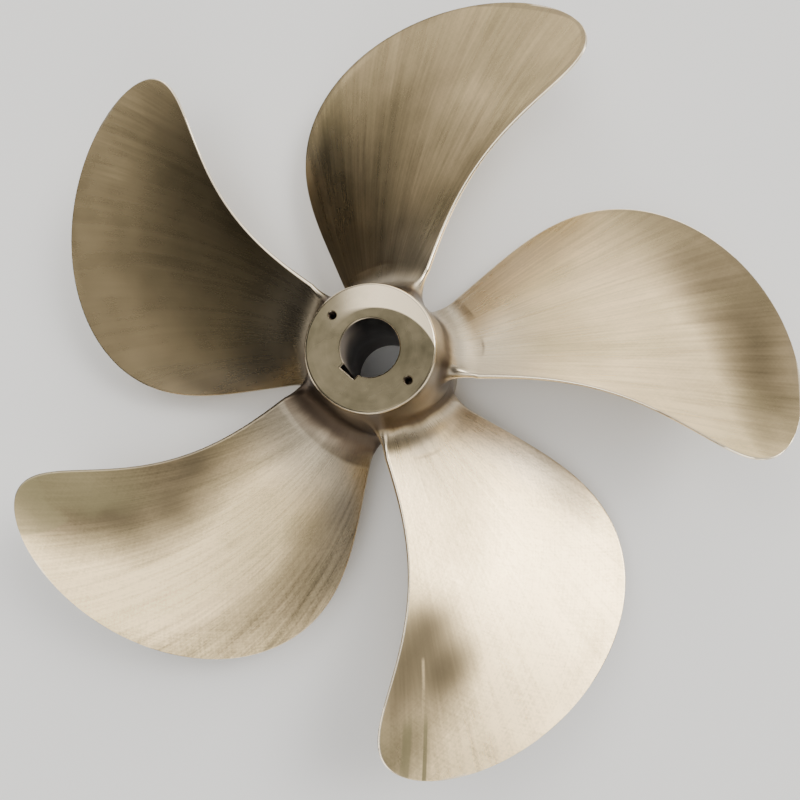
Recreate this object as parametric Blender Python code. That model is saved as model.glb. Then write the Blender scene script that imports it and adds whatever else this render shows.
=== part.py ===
import math

import bmesh
import bpy
import numpy as np

# Sizes in metres. The forward hub face is the plane z = 0, the shaft axis is Z and aft is up.
DIAMETER = 1.000
BLADES = 5
HUB_LENGTH = 0.195
HUB_FORWARD_RADIUS = 0.0925
HUB_AFT_RADIUS = 0.0785
HUB_SWELL = 2.6
RIM_CHAMFER = 0.003

# The bore tapers 1 to 12 on diameter and is smaller at the aft face.
BORE_AFT_RADIUS = 0.0355
BORE_TAPER = 1 / 12
BORE_CHAMFER = 0.0015
KEY_WIDTH = 0.022
KEY_DEPTH = 0.0054
KEY_AZIMUTH = math.radians(212.5)

# Two M10 holes in the aft face, drilled at tap size.
TAP_DRILL = 0.0085
TAP_DEPTH = 0.026
TAP_POINT = 0.0025
TAP_CIRCLE_RADIUS = 0.0605
TAP_AZIMUTH = math.radians(122.5)
TAP_SIDES = 24
CUT_PAST = 0.010

# Blade lines as functions of t, which runs from 0 at a fifth of the radius to 1 at the tip.
ROOT_FRACTION = 0.2
PITCH_ROOT = 0.52
PITCH_TIP = 0.906
RAKE = -0.070
RAKE_CURVE = 0.045
ROOT_MIDDLE_BELOW_AFT = 0.094
CHORD_ROOT = 0.139
CHORD_SLOPE = 0.211
CHORD_CURVE = 0.231
TIP_ROUNDNESS = 3.61
SKEW_1 = 0.208
SKEW_2 = -0.353
SKEW_3 = -0.239
THICKNESS_ROOT = 0.0326
THICKNESS_TIP = 0.0032
EDGE_THICKNESS = 0.0032
EDGE_ROOT_EXTRA = 0.0060
EDGE_FADE = 3

# The root fillet rises further up the blade than it spreads over the hub.
FILLET_HEIGHT = 0.040
FILLET_WIDTH = 0.027
# Above the trailing edge it spreads further, up to the aft rim.
FILLET_AFT_SPREAD = 0.016
FILLET_AFT_REACH = 0.030

# Near the tip, an edge is at most this share of the chord.
EDGE_SHARE = 0.45
# Between two blades, the fillet rings take at most this share of the way to the next blade.
FILLET_SHARE = 0.7
# Lines leave the blade root square to it for this share of their length.
SQUARE_SHARE = 0.2

# How finely each blade and its share of the hub are divided.
FACE_STEPS = 18
NOSE_STEPS = 4
RIM_STEPS = 8
SIDE_STEPS = 14
BLADE_RINGS = 15
FILLET_RINGS = 4
HUB_RINGS = 4
TIP_END = 0.990
WELD = 1e-6
SHARP_ANGLE = math.radians(35)

RADIUS = DIAMETER / 2
SECTOR = 2 * math.pi / BLADES
LOOP = 2 * FACE_STEPS + 2 * NOSE_STEPS


def clear_scene():
    for thing in list(bpy.data.objects):
        bpy.data.objects.remove(thing, do_unlink=True)


def hub_radius(z):
    from_aft = np.clip(1 - z / HUB_LENGTH, 0, 1)
    swell = 1 - (1 - from_aft) ** HUB_SWELL
    return HUB_AFT_RADIUS + (HUB_FORWARD_RADIUS - HUB_AFT_RADIUS) * swell


def bore_radius(z):
    return BORE_AFT_RADIUS + (HUB_LENGTH - z) * BORE_TAPER / 2


def blade_lines(r):
    """Chord, pitch per radian, skew, height of the middle, thickness and edge thickness at radius r."""
    t = np.clip((r / RADIUS - ROOT_FRACTION) / (1 - ROOT_FRACTION), 0, 1)
    chord = (CHORD_ROOT + CHORD_SLOPE * t + CHORD_CURVE * t**2) * np.sqrt(1 - t**TIP_ROUNDNESS)
    pitch = (PITCH_ROOT + (PITCH_TIP - PITCH_ROOT) * t) * DIAMETER / (2 * math.pi)
    skew = SKEW_1 * t + SKEW_2 * t**2 + SKEW_3 * t**3
    middle = HUB_LENGTH - ROOT_MIDDLE_BELOW_AFT + (RAKE * t + RAKE_CURVE * t**2) * RADIUS
    thick = THICKNESS_ROOT + (THICKNESS_TIP - THICKNESS_ROOT) * t
    edge = EDGE_THICKNESS + EDGE_ROOT_EXTRA * (1 - t) ** EDGE_FADE
    return chord * DIAMETER, pitch, skew, middle - pitch * skew, thick, edge


def section(chord, thick, edge_thick):
    """One closed section from the trailing edge over the pressure face, as chord and height values."""
    edge = min(edge_thick / 2, EDGE_SHARE * chord)
    reach = chord / 2 - edge
    along = []
    up = []
    half = NOSE_STEPS // 2
    for k in range(half):
        turn = math.pi - (math.pi / 2) * k / half
        along.append(-reach + edge * math.cos(turn))
        up.append(-edge + edge * math.sin(turn))
    for k in range(FACE_STEPS):
        along.append(-reach * math.cos(math.pi * k / FACE_STEPS))
        up.append(0.0)
    for k in range(NOSE_STEPS):
        turn = math.pi / 2 - math.pi * k / NOSE_STEPS
        along.append(reach + edge * math.cos(turn))
        up.append(-edge + edge * math.sin(turn))
    for k in range(FACE_STEPS):
        u = math.cos(math.pi * k / FACE_STEPS)
        along.append(reach * u)
        up.append(-2 * edge - max(thick - 2 * edge, 0) * (1 - u * u))
    for k in range(half):
        turn = 1.5 * math.pi - (math.pi / 2) * k / half
        along.append(-reach + edge * math.cos(turn))
        up.append(-edge + edge * math.sin(turn))
    return np.array(along), np.array(up)


def on_blade(radii):
    """Angle and height of each point of a blade ring whose points lie at these radii."""
    theta = np.zeros(LOOP)
    height = np.zeros(LOOP)
    for j, r in enumerate(radii):
        chord, pitch, skew, middle, thick, edge = blade_lines(r)
        along, up = section(float(chord), float(thick), float(edge))
        slope = math.atan2(pitch, r)
        arc = along[j] * math.cos(slope) + up[j] * math.sin(slope)
        theta[j] = skew + arc / r
        height[j] = middle - along[j] * math.sin(slope) + up[j] * math.cos(slope)
    return theta, height


def root_ring():
    """Radius, angle and height of the ring where the root fillet meets the blade."""
    radii = np.full(LOOP, HUB_FORWARD_RADIUS + FILLET_HEIGHT)
    for _ in range(8):
        theta, height = on_blade(radii)
        radii = hub_radius(height) + FILLET_HEIGHT
    return radii, theta, height


def sector_edge(ring_theta, ring_height):
    """The loop round one blade's share of the hub, matched point for point to the root ring."""
    top = float(ring_height[0])
    bottom = float(ring_height[LOOP // 2])
    at_top = float(ring_theta[0])
    at_bottom = float(ring_theta[LOOP // 2])

    centre = (top + bottom) / 2
    half_length = (top - bottom) / 2
    between = (at_top + at_bottom) / 2
    # The blade's thickness lies on one side of its pressure face, so the share shifts that way.
    leading = slice(0, LOOP // 2 + 1)
    pressure_side = np.interp(-centre, -ring_height[leading], ring_theta[leading])
    suction_side = np.interp(centre, ring_height[LOOP // 2 :], ring_theta[LOOP // 2 :])
    shift = (pressure_side + suction_side) / 2 - between

    def middle(z):
        w = (z - centre) / half_length
        bent = w / (1 + w**4) ** 0.25
        return between + (at_top - at_bottom) / 2 * bent + shift * max(0.0, 1 - w * w) ** 2

    low = RIM_CHAMFER
    high = HUB_LENGTH - RIM_CHAMFER
    half = RIM_STEPS // 2
    theta = []
    height = []
    for k in range(half):
        theta.append(middle(high) + SECTOR * k / RIM_STEPS)
        height.append(high)
    for k in range(SIDE_STEPS):
        z = high + (low - high) * k / SIDE_STEPS
        theta.append(middle(z) + SECTOR / 2)
        height.append(z)
    for k in range(RIM_STEPS):
        theta.append(middle(low) + SECTOR / 2 - SECTOR * k / RIM_STEPS)
        height.append(low)
    for k in range(SIDE_STEPS):
        z = low + (high - low) * k / SIDE_STEPS
        theta.append(middle(z) - SECTOR / 2)
        height.append(z)
    for k in range(half):
        theta.append(middle(high) - SECTOR / 2 + SECTOR * k / RIM_STEPS)
        height.append(high)
    return np.array(theta), np.array(height)


def distance_to_loop(points, loop):
    """Shortest distance from each point to a closed loop, both flat."""
    start = loop
    step = np.roll(loop, -1, axis=0) - loop
    away = points[:, None, :] - start[None, :, :]
    share = (away * step).sum(2) / (step * step).sum(1)
    share = np.clip(share, 0, 1)
    gap = away - share[..., None] * step[None, :, :]
    return np.sqrt((gap * gap).sum(2)).min(1)


def fillet_height(theta, height, ring_theta, ring_height):
    """How far the fillets of this blade and its neighbours lift the hub at each point."""
    flat = HUB_FORWARD_RADIUS + FILLET_HEIGHT / 2
    points = np.column_stack([theta * flat, height])
    lift = np.zeros(len(points))
    above = np.clip((height - ring_height[0]) / FILLET_AFT_REACH, 0, 1)
    width = FILLET_WIDTH + FILLET_AFT_SPREAD * above
    for turn in (-SECTOR, 0, SECTOR):
        loop = np.column_stack([(ring_theta + turn) * flat, ring_height])
        share = np.clip(1 - distance_to_loop(points, loop) / width, 0, 1)
        lift += FILLET_HEIGHT * (1 - np.sqrt(1 - share**2))
    return lift


def hub_share(ring_theta, ring_height):
    """Rings from the blade root out to the edge of its share of the hub."""
    flat = HUB_FORWARD_RADIUS + FILLET_HEIGHT / 2
    edge_theta, edge_height = sector_edge(ring_theta, ring_height)
    ring = np.column_stack([ring_theta * flat, ring_height])
    edge = np.column_stack([edge_theta * flat, edge_height])
    along = np.roll(ring, -1, axis=0) - np.roll(ring, 1, axis=0)
    outward = np.column_stack([-along[:, 1], along[:, 0]])
    outward /= np.linalg.norm(outward, axis=1)[:, None]
    reach = np.linalg.norm(edge - ring, axis=1)
    bend = ring + outward * (reach * SQUARE_SHARE)[:, None]
    rings = []
    for m in range(1, FILLET_RINGS + HUB_RINGS + 1):
        if m <= FILLET_RINGS:
            turn = (math.pi / 2) * m / FILLET_RINGS
            share = np.minimum(FILLET_WIDTH, FILLET_SHARE * reach) * (1 - math.cos(turn)) / reach
        else:
            first = np.minimum(FILLET_WIDTH, FILLET_SHARE * reach) / reach
            share = first + (1 - first) * (m - FILLET_RINGS) / HUB_RINGS
        s = share[:, None]
        flat_point = (1 - s) ** 2 * ring + 2 * s * (1 - s) * bend + s**2 * edge
        theta = flat_point[:, 0] / flat
        height = flat_point[:, 1]
        lift = fillet_height(theta, height, ring_theta, ring_height)
        rings.append((hub_radius(height) + lift, theta, height))
    return rings


def casting_mesh():
    """The whole casting, with its bore, as one closed mesh."""
    shape = bmesh.new()

    def ring_of(radii, theta, height):
        found = []
        for r, angle, z in zip(radii, theta, height):
            found.append(shape.verts.new((r * math.cos(angle), r * math.sin(angle), z)))
        return found

    def join(first, second):
        count = len(first)
        for j in range(count):
            k = (j + 1) % count
            shape.faces.new((first[j], first[k], second[k], second[j]))

    root_r, root_theta, root_z = root_ring()
    share = hub_share(root_theta, root_z)
    for blade in range(BLADES):
        turn = SECTOR * blade
        root = ring_of(root_r, root_theta + turn, root_z)
        last = root
        for radii, theta, height in share:
            following = ring_of(radii, theta + turn, height)
            join(last, following)
            last = following
        last = root
        for k in range(1, BLADE_RINGS + 1):
            left = 1 - TIP_END * k / BLADE_RINGS
            radii = RADIUS - (RADIUS - root_r) * left**2
            theta, height = on_blade(radii)
            following = ring_of(radii, theta + turn, height)
            join(last, following)
            last = following
        for j in range(LOOP // 2):
            corners = [last[j], last[(j + 1) % LOOP], last[LOOP - 1 - j], last[(LOOP - j) % LOOP]]
            kept = []
            for corner in corners:
                if corner not in kept:
                    kept.append(corner)
            if len(kept) > 2:
                shape.faces.new(kept)

    bmesh.ops.remove_doubles(shape, verts=shape.verts, dist=WELD)
    open_edges = [e for e in shape.edges if len(e.link_faces) == 1]
    upper = {v for e in open_edges for v in e.verts if v.co.z > HUB_LENGTH / 2}
    lower = {v for e in open_edges for v in e.verts if v.co.z <= HUB_LENGTH / 2}

    def around(points):
        return sorted(points, key=lambda v: math.atan2(v.co.y, v.co.x))

    def turned(ring, radius, z):
        angles = np.array([math.atan2(v.co.y, v.co.x) for v in ring])
        return ring_of(np.full(len(ring), radius), angles, np.full(len(ring), z))

    ends = []
    for rim, z, inward in ((around(upper), HUB_LENGTH, -1), (around(lower), 0.0, 1)):
        outer = turned(rim, float(hub_radius(z)) - RIM_CHAMFER, z)
        mouth = turned(rim, float(bore_radius(z)) + BORE_CHAMFER, z)
        depth = z + inward * BORE_CHAMFER
        throat = turned(rim, float(bore_radius(depth)), depth)
        join(rim, outer)
        join(outer, mouth)
        join(mouth, throat)
        ends.append(throat)
    if len(ends[0]) != len(ends[1]):
        raise ValueError("the two rims differ")
    join(ends[0], ends[1])
    bmesh.ops.recalc_face_normals(shape, faces=shape.faces)
    mesh = bpy.data.meshes.new("propeller_casting")
    shape.to_mesh(mesh)
    shape.free()
    mesh.shade_smooth()
    mesh.set_sharp_from_angle(angle=SHARP_ANGLE)
    return mesh


def cutter(name, corners, faces):
    mesh = bpy.data.meshes.new(name)
    mesh.from_pydata(corners, [], faces)
    shape = bmesh.new()
    shape.from_mesh(mesh)
    bmesh.ops.recalc_face_normals(shape, faces=shape.faces)
    shape.to_mesh(mesh)
    shape.free()
    thing = bpy.data.objects.new(name, mesh)
    thing.hide_render = True
    thing.display_type = "WIRE"
    bpy.context.collection.objects.link(thing)
    return thing


def key_cutter():
    """A keyway whose floor follows the taper, running out past both faces."""
    corners = []
    for z in (-CUT_PAST, HUB_LENGTH + CUT_PAST):
        outer = bore_radius(z) + KEY_DEPTH
        for r, side in ((BORE_AFT_RADIUS / 2, -1), (BORE_AFT_RADIUS / 2, 1), (outer, 1), (outer, -1)):
            across = side * KEY_WIDTH / 2
            x = r * math.cos(KEY_AZIMUTH) - across * math.sin(KEY_AZIMUTH)
            y = r * math.sin(KEY_AZIMUTH) + across * math.cos(KEY_AZIMUTH)
            corners.append((x, y, z))
    faces = [(0, 1, 2, 3), (4, 5, 6, 7), (0, 1, 5, 4), (1, 2, 6, 5), (2, 3, 7, 6), (3, 0, 4, 7)]
    return cutter("keyway_cut", corners, faces)


def tap_cutter(name, azimuth):
    """A drilled hole with a pointed floor."""
    cx = TAP_CIRCLE_RADIUS * math.cos(azimuth)
    cy = TAP_CIRCLE_RADIUS * math.sin(azimuth)
    corners = []
    for z in (HUB_LENGTH + CUT_PAST, HUB_LENGTH - TAP_DEPTH):
        for k in range(TAP_SIDES):
            turn = 2 * math.pi * k / TAP_SIDES
            x = cx + TAP_DRILL / 2 * math.cos(turn)
            y = cy + TAP_DRILL / 2 * math.sin(turn)
            corners.append((x, y, z))
    corners.append((cx, cy, HUB_LENGTH - TAP_DEPTH - TAP_POINT))
    point = 2 * TAP_SIDES
    faces = [tuple(range(TAP_SIDES))]
    for k in range(TAP_SIDES):
        following = (k + 1) % TAP_SIDES
        faces.append((k, following, TAP_SIDES + following, TAP_SIDES + k))
        faces.append((TAP_SIDES + k, TAP_SIDES + following, point))
    return cutter(name, corners, faces)


def bronze():
    material = bpy.data.materials.new("cast_bronze")
    material.use_nodes = True
    shader = material.node_tree.nodes["Principled BSDF"]
    shader.inputs["Base Color"].default_value = (0.62, 0.50, 0.33, 1.0)
    shader.inputs["Metallic"].default_value = 1.0
    shader.inputs["Roughness"].default_value = 0.38
    return material


def main():
    clear_scene()
    casting = bpy.data.objects.new("propeller_casting", casting_mesh())
    bpy.context.collection.objects.link(casting)
    casting.data.materials.append(bronze())
    tools = [key_cutter()]
    tools.append(tap_cutter("tapped_hole_cut_1", TAP_AZIMUTH))
    tools.append(tap_cutter("tapped_hole_cut_2", TAP_AZIMUTH + math.pi))
    for tool in tools:
        cut = casting.modifiers.new(tool.name, "BOOLEAN")
        cut.operation = "DIFFERENCE"
        cut.solver = "EXACT"
        cut.object = tool


main()
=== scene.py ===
import math
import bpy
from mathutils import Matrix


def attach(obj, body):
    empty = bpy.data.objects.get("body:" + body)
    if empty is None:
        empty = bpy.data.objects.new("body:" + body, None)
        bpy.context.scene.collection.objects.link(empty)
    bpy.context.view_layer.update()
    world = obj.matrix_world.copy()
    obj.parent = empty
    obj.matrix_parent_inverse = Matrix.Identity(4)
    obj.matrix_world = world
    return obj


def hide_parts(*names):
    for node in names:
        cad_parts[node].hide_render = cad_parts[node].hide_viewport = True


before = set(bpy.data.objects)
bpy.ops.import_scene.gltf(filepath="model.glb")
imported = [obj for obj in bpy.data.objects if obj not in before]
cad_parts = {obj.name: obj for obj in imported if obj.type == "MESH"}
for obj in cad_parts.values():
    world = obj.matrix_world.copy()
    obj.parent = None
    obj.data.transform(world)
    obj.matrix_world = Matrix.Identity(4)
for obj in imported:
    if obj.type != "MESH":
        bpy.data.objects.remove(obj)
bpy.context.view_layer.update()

from types import SimpleNamespace

import bmesh
import bpy
from mathutils import Euler, Matrix, Vector
from mathutils.geometry import delaunay_2d_cdt


# Node maths

def arithmetic(operation, swapped=False):
    def method(self, other):
        values = (other, self) if swapped else (self, other)
        return self.board.maths(operation, *values)
    return method


class Wire:
    # wraps one socket, so that maths on it reads as ordinary arithmetic
    def __init__(self, board, socket):
        self.board = board
        self.socket = socket

    __add__ = __radd__ = arithmetic("ADD")
    __sub__ = arithmetic("SUBTRACT")
    __rsub__ = arithmetic("SUBTRACT", swapped=True)
    __mul__ = __rmul__ = arithmetic("MULTIPLY")
    __truediv__ = arithmetic("DIVIDE")
    __rtruediv__ = arithmetic("DIVIDE", swapped=True)
    __pow__ = arithmetic("POWER")


class Board:
    # adds nodes to one tree, of a material or of geometry
    def __init__(self, tree):
        self.tree = tree

    def add(self, kind, inputs=None, **settings):
        node = self.tree.nodes.new(kind)
        for name, value in settings.items():
            setattr(node, name, value)
        for key, value in (inputs or {}).items():
            for part in value if isinstance(value, list) else [value]:
                if isinstance(part, Wire):
                    self.tree.links.new(part.socket, node.inputs[key])
                else:
                    node.inputs[key].default_value = part
        return node

    def out(self, kind, inputs=None, output=0, **settings):
        return Wire(self, self.add(kind, inputs, **settings).outputs[output])

    def maths(self, operation, *values):
        return self.out("ShaderNodeMath", dict(enumerate(values)), operation=operation)

    def clamp(self, value, low=0.0, high=1.0):
        return self.out("ShaderNodeClamp", {"Value": value, "Min": low, "Max": high})

    def rise(self, value, limits):
        # a soft step from 0 at the first limit to 1 at the second
        return self.out("ShaderNodeMapRange", {"Value": value, "From Min": limits[0], "From Max": limits[1]},
                        interpolation_type="SMOOTHSTEP")

    def fall(self, value, limits):
        return 1 - self.rise(value, limits)

    def bell(self, value):
        # 1 at 0, and dying away on both sides of it
        return self.maths("EXPONENT", value * value * -1)

    def sqrt(self, value):
        return self.maths("SQRT", value)

    def combine(self, x, y, z):
        return self.out("ShaderNodeCombineXYZ", {"X": x, "Y": y, "Z": z})

    def polar(self, radius, angle, height):
        return self.combine(radius * self.maths("COSINE", angle), radius * self.maths("SINE", angle), height)

    def split(self, vector):
        node = self.add("ShaderNodeSeparateXYZ", {0: vector})
        return [Wire(self, socket) for socket in node.outputs]

    def noise(self, place, scale, detail):
        return self.out("ShaderNodeTexNoise", {"Vector": place, "Scale": scale, "Detail": detail}, "Fac")

    def attribute(self, name, output="Fac"):
        return self.out("ShaderNodeAttribute", None, output, attribute_name=name)

    def onPoints(self, name, kind="FLOAT"):
        # an attribute as a geometry tree reads it
        return self.out("GeometryNodeInputNamedAttribute", {"Name": name}, data_type=kind)

    def placed(self, geometry, place):
        return self.out("GeometryNodeSetPosition", {"Geometry": geometry, "Position": place})

    def store(self, geometry, name, value, kind="FLOAT", domain="POINT"):
        inputs = {"Geometry": geometry, "Name": name, "Value": value}
        return self.out("GeometryNodeStoreNamedAttribute", inputs, data_type=kind, domain=domain)

    def scaled(self, vector, factor):
        return self.out("ShaderNodeVectorMath", {"Vector": vector, "Scale": factor}, operation="SCALE")

    def blend(self, share, first, second):
        # a colour between two others
        colours = [(*c, 1) if isinstance(c, tuple) else c for c in (first, second)]
        return self.out("ShaderNodeMix", {0: share, 6: colours[0], 7: colours[1]}, 2, data_type="RGBA")


def geometryTree(name, sizes):
    # a tree with one named input for each size, and a named geometry output
    tree = bpy.data.node_groups.new(name, "GeometryNodeTree")
    tree.interface.new_socket(name="Geometry", in_out="OUTPUT", socket_type="NodeSocketGeometry")
    for key, value in sizes.items():
        kind = "NodeSocketInt" if isinstance(value, int) else "NodeSocketFloat"
        tree.interface.new_socket(name=key, in_out="INPUT", socket_type=kind)
    board = Board(tree)
    given = board.add("NodeGroupInput")
    return board, SimpleNamespace(**{key: Wire(board, given.outputs[key]) for key in sizes})


def finishTree(board, geometry, material):
    realized = board.out("GeometryNodeRealizeInstances", {"Geometry": geometry})
    return board.out("GeometryNodeSetMaterial", {"Geometry": realized, "Material": material})


def meshFromTree(name, board, geometry, sizes):
    # runs the tree once and keeps its result as a plain mesh
    board.add("NodeGroupOutput", {"Geometry": geometry})
    holder = addPiece(name + "Maker", bpy.data.meshes.new(name + "Maker"))
    maker = holder.modifiers.new("shape", "NODES")
    maker.node_group = board.tree
    for item in board.tree.interface.items_tree:
        if item.in_out == "INPUT":
            maker[item.identifier] = sizes[item.name]
    ready = holder.evaluated_get(bpy.context.evaluated_depsgraph_get())
    mesh = bpy.data.meshes.new_from_object(ready)
    bpy.data.objects.remove(holder)
    mesh.name = name
    while mesh.materials and mesh.materials[0] is None:
        mesh.materials.pop(index=0)
    return mesh


def faceOutward(shape, name):
    bmesh.ops.recalc_face_normals(shape, faces=shape.faces)
    if any(not edge.is_manifold for edge in shape.edges):
        print(name, "has open edges")


def addPiece(name, mesh):
    piece = bpy.data.objects.new(name, mesh)
    bpy.context.scene.collection.objects.link(piece)
    return piece


# The propeller's lines, in metres and shares of the diameter, as the solid has them

propeller = dict(
    blades=5, diameter=0.9985, hubLength=0.195,
    hubForwardRadius=0.0925, hubAftRadius=0.0785,
    hubSwell=2.6, rimChamfer=0.003, rootFraction=0.2,
    pitchRoot=0.52, pitchTip=0.906,
    rake=-0.070, rakeCurve=0.045,
    rootBelowAft=0.094,
    chordRoot=0.139, chordSlope=0.211, chordCurve=0.231,
    tipRoundness=3.61,
    skew1=0.208, skew2=-0.353, skew3=-0.239,
    thicknessRoot=0.0326, thicknessTip=0.0032,
    edgeThickness=0.0032, edgeRootExtra=0.0060, edgeFade=3.0, edgeShare=0.45,
    filletHeight=0.040, filletWidth=0.027,
    filletAftSpread=0.016, filletAftReach=0.030,
    tipEnd=0.994, tipCrowding=1.4,
    loopPoints=128, bladeRings=90, hubRings=40,
    rimShare=0.09375,  # of a loop's points, those along half of one blade's stretch of the rim
    filletShare=0.75,  # of the hub's rings, those inside the fillet
    filletMost=0.7,
    squareShare=0.2, noseFullness=2.5,
    ridgeHeight=0.00011, ridgeStart=0.007, ridgeSpacing=0.0072, ridgeEnd=0.029, ridgeFade=0.008,
    ridgeWander=0.006, ridgeUneven=1.4, ridgeScale=45.0,
    waveHeight=0.0010, waveScale=8.0, waveSeed=3.0,
    waveMargin=0.022,  # the waves die away within this distance of a blade's edge
    calmForward=0.02,  # and within these two of the hub's faces
    calmAft=0.03,
    weld=0.00002,
    blendReach=0.010,  # the fillet is eased into the blade over this distance
    blendEdge=0.006,  # but not this near an edge
    blendSteps=14,
)


def hubRadius(board, size, height):
    fromAft = board.clamp(1 - height / size.hubLength)
    swell = 1 - (1 - fromAft) ** size.hubSwell
    return size.hubAftRadius + (size.hubForwardRadius - size.hubAftRadius) * swell


def bladeSurface(board, size, radius, turn, unclosed=1.0):
    # where a blade's skin lies at a radius; turn goes once round its section
    t = board.clamp((radius / (size.diameter / 2) - size.rootFraction) / (1 - size.rootFraction))
    t2 = t * t
    t3 = t2 * t
    fullness = board.sqrt(board.maths("MAXIMUM", 1 - t ** size.tipRoundness, 0.0))
    chord = (size.chordRoot + size.chordSlope * t + size.chordCurve * t2) * fullness * size.diameter
    pitch = (size.pitchRoot + (size.pitchTip - size.pitchRoot) * t) * size.diameter / math.tau
    skew = size.skew1 * t + size.skew2 * t2 + size.skew3 * t3
    raked = (size.rake * t + size.rakeCurve * t2) * size.diameter / 2
    middle = size.hubLength - size.rootBelowAft + raked - pitch * skew
    thick = size.thicknessRoot + (size.thicknessTip - size.thicknessRoot) * t
    fullEdge = (size.edgeThickness + size.edgeRootExtra * (1 - t) ** size.edgeFade) / 2
    edge = board.maths("MINIMUM", fullEdge, size.edgeShare * chord)
    swept = board.maths("COSINE", turn)
    along = chord * swept * -0.5
    fromSide = chord / 2 * (1 - board.maths("ABSOLUTE", swept))
    reach = chord / 2 - edge
    nose = board.clamp(1 - fromSide / edge)
    rounded = edge * (1 - nose ** size.noseFullness) ** (1 / size.noseFullness)
    side = board.maths("SIGN", math.pi - turn)
    crown = board.maths("MAXIMUM", 1 - (along / reach) ** 2, 0.0)
    back = crown * board.maths("MAXIMUM", thick - edge * 2, 0.0)
    across = (side * rounded - (1 - side) / 2 * back) * unclosed - edge
    slant = board.sqrt(radius * radius + pitch * pitch)
    angle = skew + (along * radius / slant + across * pitch / slant) / radius
    height = middle - along * pitch / slant + across * radius / slant
    fromTip = size.diameter / 2 - radius
    aboveZero = 0.00001
    fromEdge = fromSide * fromTip / (board.sqrt(fromSide * fromSide + fromTip * fromTip) + aboveZero)
    return angle, height, along, fromEdge * side


def rootLoop(board, size):
    # the line where the fillet meets the blade, laid out flat: x along the hub, y up it, z its radius
    line = board.out("GeometryNodeMeshLine", {"Count": size.loopPoints})
    turn = board.out("GeometryNodeInputIndex") / size.loopPoints * math.tau
    radius = size.hubForwardRadius + size.filletHeight
    # each round starts from the height that the last one found, and five settle it
    for _ in range(5):
        angle, height = bladeSurface(board, size, radius, turn)[:2]
        radius = hubRadius(board, size, height) + size.filletHeight
    flat = size.hubForwardRadius + size.filletHeight / 2
    place = board.combine(angle * flat, height, radius)
    return board.placed(line, place), flat


def gridOf(board, rings, loopPoints):
    # a grid from which a field reads how far out it is and how far round the loop
    across = board.add("GeometryNodeMeshGrid", {"Size X": 1.0, "Size Y": 1.0, "Vertices X": rings + 1,
                                                "Vertices Y": loopPoints + 1})
    place = board.split(board.out("GeometryNodeInputPosition"))
    return Wire(board, across.outputs["Mesh"]), place[0] + 0.5, place[1] + 0.5


def ridges(board, size, run, turn, flatPlace):
    # low uneven ridges that the grinder left in the fillet, on the pressure side only
    uneven = board.noise(flatPlace, size.ridgeScale, 1.0) - 0.5
    into = board.maths("MAXIMUM", run - size.ridgeStart + uneven * size.ridgeWander, 0.0)
    wave = 1 - board.maths("COSINE", into / size.ridgeSpacing * math.tau)
    fade = board.clamp((size.ridgeEnd - run) / size.ridgeFade)
    onFace = board.sqrt(board.maths("MAXIMUM", board.maths("SINE", turn), 0.0))
    return wave * fade * onFace * (1 + uneven * size.ridgeUneven) * size.ridgeHeight


def storePlace(board, geometry, along, radius, fromEdge, run):
    # what the finish follows: place along the chord, radius, distance in from the blade's edge
    # (below 0 on the suction side), and distance from the root line (below 0 up the blade)
    stored = board.store(geometry, "bladePlace", board.combine(along, radius, fromEdge), "FLOAT_VECTOR")
    return board.store(stored, "rootRun", run)


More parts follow.
